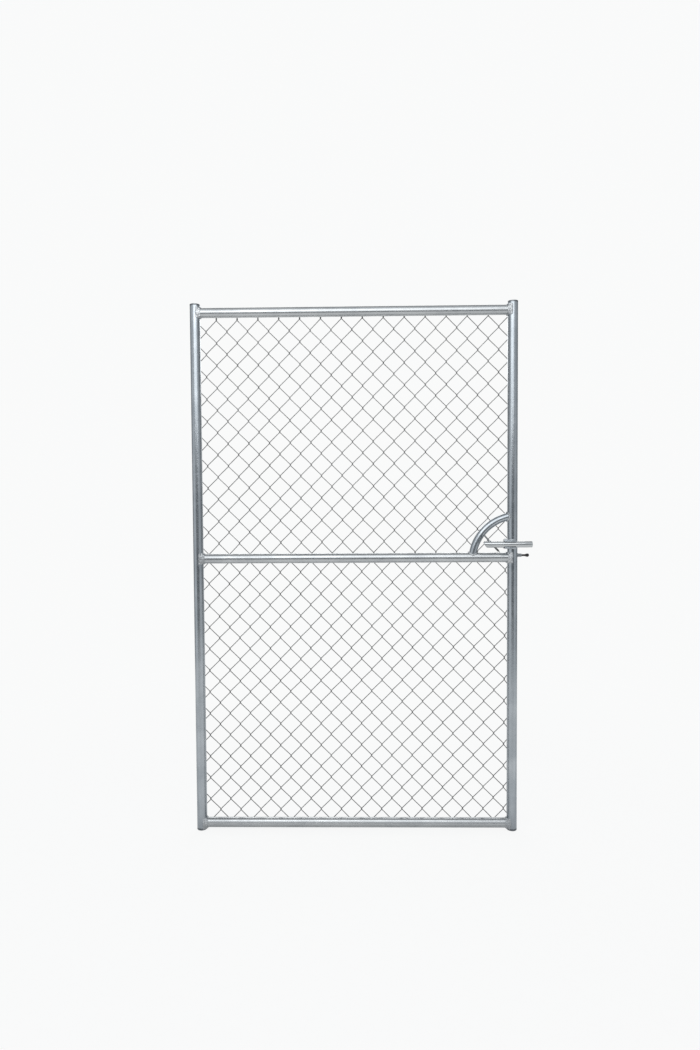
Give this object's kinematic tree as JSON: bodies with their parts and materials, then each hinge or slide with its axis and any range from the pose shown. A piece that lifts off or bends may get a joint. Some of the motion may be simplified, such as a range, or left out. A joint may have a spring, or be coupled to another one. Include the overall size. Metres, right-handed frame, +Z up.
{
  "type": "chain link gate",
  "caption": "Welded tube gate leaf with chain-link fabric, middle rail, curved hand-hole brace, slide bolt and rubber-tipped stop.",
  "frame": {"origin": "centre of the hinge stile's flat foot face, on the lowest plane of the gate", "axes": "+X from the hinge stile to the latch stile, +Y from the bolt side to the fabric side, +Z up the stiles"},
  "size_m": [1.1642, 0.0653, 1.829],
  "materials": {
    "tube_zinc": "galvanised, satin, faint spangle",
    "weld_zinc": "galvanised over weld bead, matt and lumpy",
    "wire_zinc": "galvanised drawn wire, dull",
    "bolt_zinc": "galvanised, satin",
    "buffer_rubber": "black moulded rubber, matt"
  },
  "bodies": {
    "leaf": {"hinge_stile": "tube_zinc", "latch_stile": "tube_zinc", "top_rail": "tube_zinc", "middle_rail": "tube_zinc", "bottom_rail": "tube_zinc", "hand_hole_brace": "tube_zinc", "hinge_top_cap": "tube_zinc", "hinge_foot_cap": "tube_zinc", "latch_top_cap": "tube_zinc", "latch_foot_cap": "tube_zinc", "top_hinge_weld": "weld_zinc", "top_latch_weld": "weld_zinc", "middle_hinge_weld": "weld_zinc", "middle_latch_weld": "weld_zinc", "bottom_hinge_weld": "weld_zinc", "bottom_latch_weld": "weld_zinc", "brace_stile_weld": "weld_zinc", "brace_rail_weld": "weld_zinc", "upper_fabric": "wire_zinc", "lower_fabric": "wire_zinc", "bolt_guide": "bolt_zinc", "stop_stem": "tube_zinc", "stop_buffer": "buffer_rubber"},
    "bolt": {"slide_bolt": "bolt_zinc", "bolt_finger": "bolt_zinc"}
  },
  "joints": [
    {"name": "bolt_slide", "type": "slide", "parent": "leaf", "child": "bolt", "axis": [-1, 0, 0], "range_m": [0, 0.05]}
  ]
}
